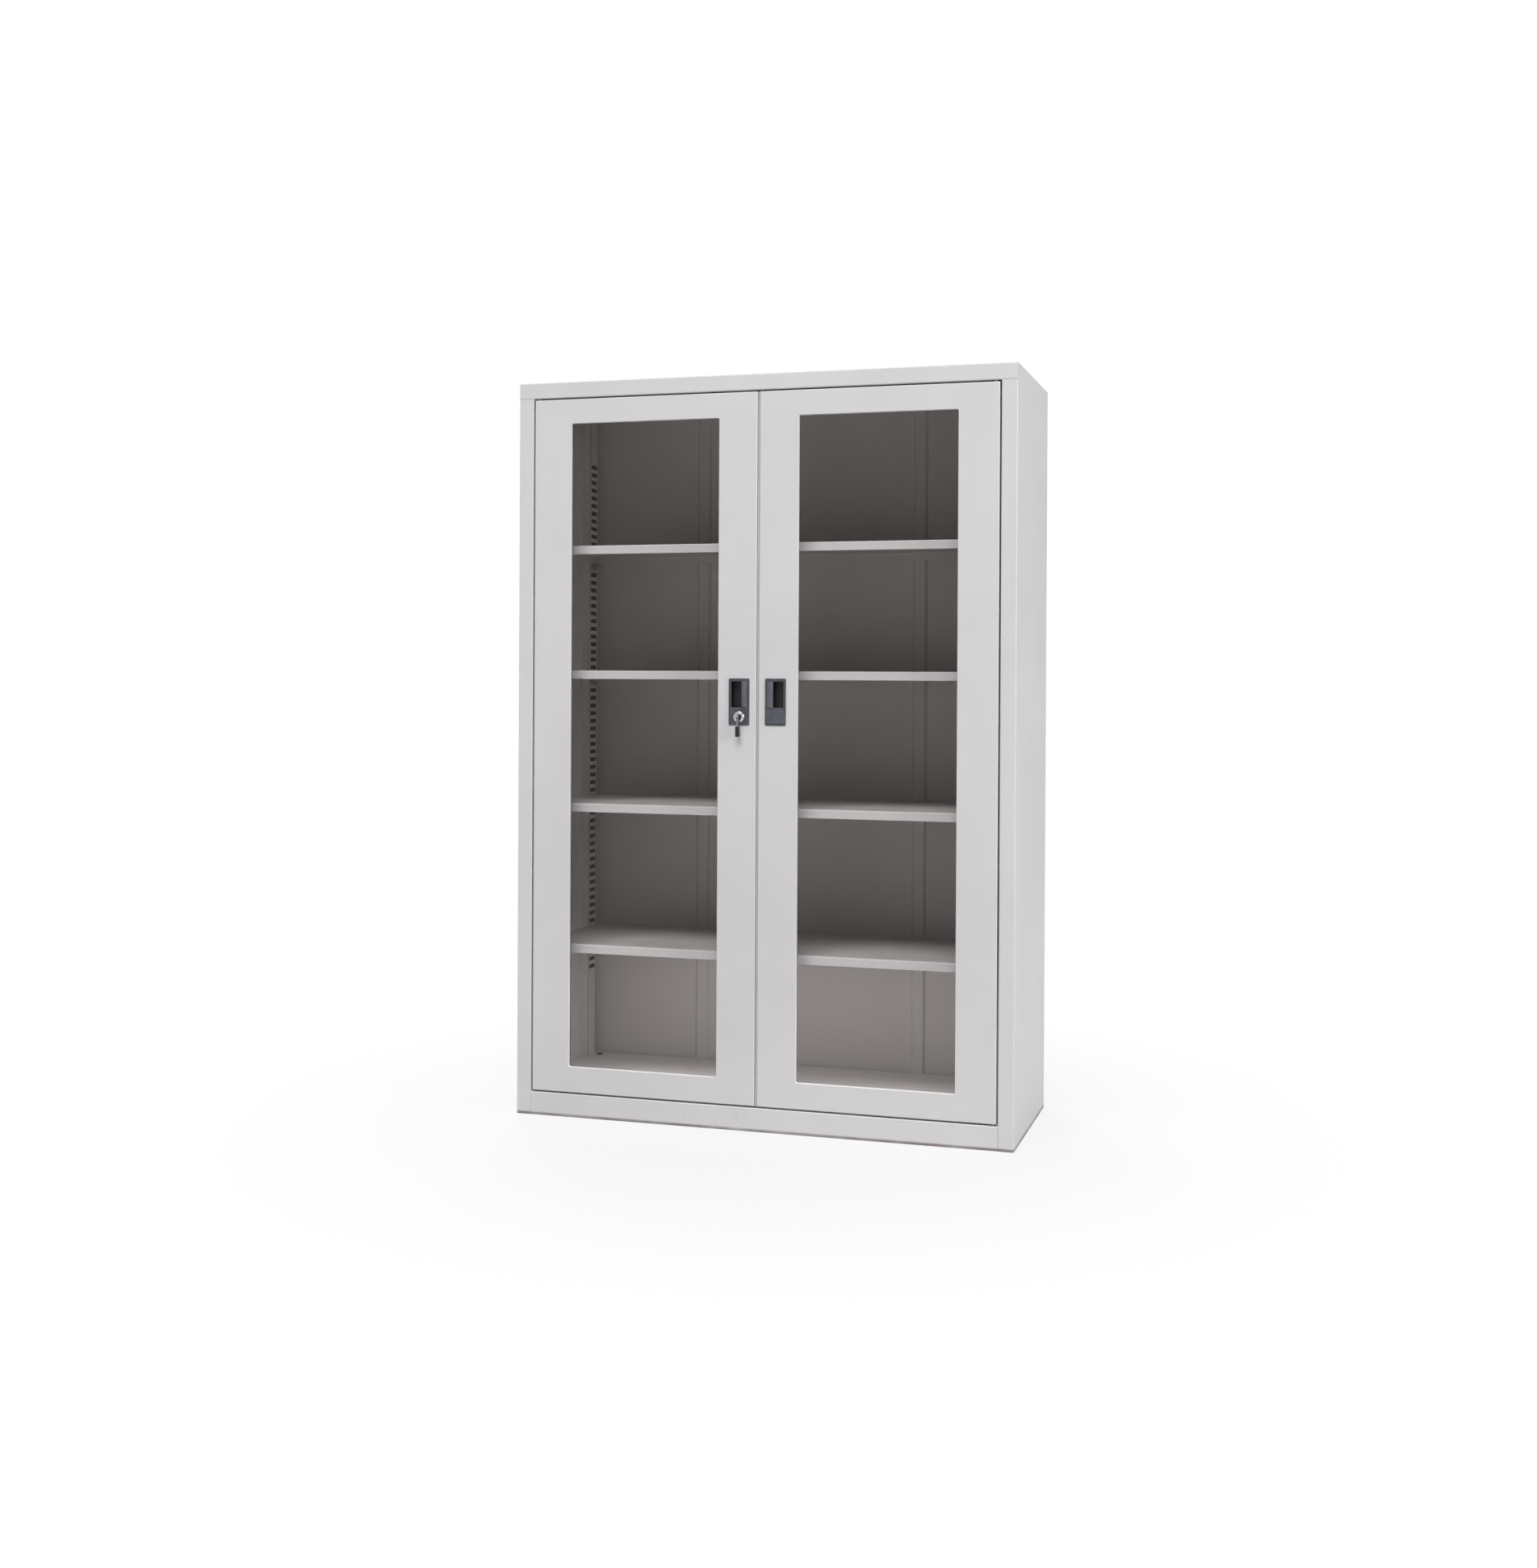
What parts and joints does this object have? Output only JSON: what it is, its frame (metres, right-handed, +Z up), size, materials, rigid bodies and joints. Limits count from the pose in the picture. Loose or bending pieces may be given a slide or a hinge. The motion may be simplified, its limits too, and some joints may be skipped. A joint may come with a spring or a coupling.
{
  "type": "instrument cabinet",
  "caption": "Free-standing sheet-steel cabinet with two inset glazed doors on pivots, lipped shelves on slotted strips, recessed pulls, and a key lock that drives rods to head and floor.",
  "frame": {"origin": "floor level, at the middle of the footprint", "axes": "+Z up, +Y from the doors toward the back, +X toward the viewer's right when facing the doors"},
  "size_m": [1.2, 0.467, 1.75],
  "materials": {
    "cabinet_paint": "light warm grey powder coat, satin",
    "window_glass": "clear float glass",
    "seal_rubber": "black rubber",
    "handle_plastic": "dark slate grey moulded plastic, fine grain",
    "blank_plastic": "mid grey moulded plastic",
    "lock_chrome": "bright chrome plate",
    "plug_zinc": "dark die-cast zinc",
    "key_steel": "dark nickel plated steel",
    "key_plastic": "black moulded plastic",
    "zinc_steel": "zinc plated steel",
    "nylon": "natural nylon",
    "catch_plastic": "white moulded plastic",
    "strip_plastic": "light grey extruded plastic"
  },
  "bodies": {
    "cabinet": {"left_side_panel": "cabinet_paint", "right_side_panel": "cabinet_paint", "top_panel": "cabinet_paint", "floor_panel": "cabinet_paint", "kick_plate": "cabinet_paint", "rear_base_rail": "cabinet_paint", "back_panel": "cabinet_paint", "left_front_shelf_strip": "cabinet_paint", "left_rear_shelf_strip": "cabinet_paint", "right_front_shelf_strip": "cabinet_paint", "right_rear_shelf_strip": "cabinet_paint", "top_shelf": "cabinet_paint", "upper_shelf": "cabinet_paint", "lower_shelf": "cabinet_paint", "bottom_shelf": "cabinet_paint", "top_shelf_clips": "zinc_steel", "upper_shelf_clips": "zinc_steel", "lower_shelf_clips": "zinc_steel", "bottom_shelf_clips": "zinc_steel", "pivot_bushes": "nylon", "door_buffers": "seal_rubber", "magnetic_catches": "catch_plastic", "foot_brackets": "zinc_steel", "hole_caps": "seal_rubber"},
    "left_door": {"left_door_frame": "cabinet_paint", "left_door_glass": "window_glass", "left_glass_seal": "seal_rubber", "left_glazing_beads": "cabinet_paint", "left_bead_nuts": "zinc_steel", "left_pivot_pins": "zinc_steel", "left_handle_cup": "handle_plastic", "lock_barrel": "lock_chrome", "lock_nut": "zinc_steel", "rod_guides": "nylon", "left_strike_plate": "zinc_steel"},
    "right_door": {"right_door_frame": "cabinet_paint", "right_door_glass": "window_glass", "right_glass_seal": "seal_rubber", "right_glazing_beads": "cabinet_paint", "right_bead_nuts": "zinc_steel", "right_pivot_pins": "zinc_steel", "right_handle_cup": "handle_plastic", "lock_blank": "blank_plastic", "meeting_strip": "strip_plastic", "right_strike_plate": "zinc_steel"},
    "lock": {"lock_plug": "plug_zinc", "lock_cam": "zinc_steel", "cam_screw": "zinc_steel", "key_blade": "key_steel"},
    "key_bow": {"key_tang": "key_steel", "key_head": "key_plastic"},
    "upper_rod": {"upper_lock_rod": "zinc_steel"},
    "lower_rod": {"lower_lock_rod": "zinc_steel"},
    "front_left_foot_screw": {"front_left_foot": "zinc_steel"},
    "front_right_foot_screw": {"front_right_foot": "zinc_steel"},
    "rear_left_foot_screw": {"rear_left_foot": "zinc_steel"},
    "rear_right_foot_screw": {"rear_right_foot": "zinc_steel"}
  },
  "joints": [
    {"name": "left_door_swing", "type": "hinge", "parent": "cabinet", "child": "left_door", "pos_m": [-0.55, -0.219, 0.884], "axis": [0, 0, -1], "range_deg": [0, 110]},
    {"name": "right_door_swing", "type": "hinge", "parent": "cabinet", "child": "right_door", "pos_m": [0.55, -0.219, 0.884], "axis": [0, 0, 1], "range_deg": [0, 110]},
    {"name": "lock_turn", "type": "hinge", "parent": "left_door", "child": "lock", "pos_m": [-0.044, -0.215, 0.958], "axis": [0, -1, 0], "range_deg": [0, 90]},
    {"name": "upper_rod_slide", "type": "slide", "parent": "left_door", "child": "upper_rod", "axis": [0, 0, 1], "range_m": [0, 0.01697]},
    {"name": "lower_rod_slide", "type": "slide", "parent": "left_door", "child": "lower_rod", "axis": [0, 0, -1], "range_m": [0, 0.0172]},
    {"name": "key_fold", "type": "hinge", "parent": "lock", "child": "key_bow", "pos_m": [-0.044, -0.2365, 0.958], "axis": [-1, 0, 0], "range_deg": [0, 90]},
    {"name": "front_left_foot_level", "type": "slide", "parent": "cabinet", "child": "front_left_foot_screw", "axis": [0, 0, -1], "range_m": [0, 0.01]},
    {"name": "front_right_foot_level", "type": "slide", "parent": "cabinet", "child": "front_right_foot_screw", "axis": [0, 0, -1], "range_m": [0, 0.01]},
    {"name": "rear_left_foot_level", "type": "slide", "parent": "cabinet", "child": "rear_left_foot_screw", "axis": [0, 0, -1], "range_m": [0, 0.01]},
    {"name": "rear_right_foot_level", "type": "slide", "parent": "cabinet", "child": "rear_right_foot_screw", "axis": [0, 0, -1], "range_m": [0, 0.01]}
  ],
  "couplings": [
    {"joint": "lock_turn", "follows": "upper_rod_slide", "rad_per_m": 92.563},
    {"joint": "lower_rod_slide", "follows": "upper_rod_slide", "ratio": 1}
  ]
}
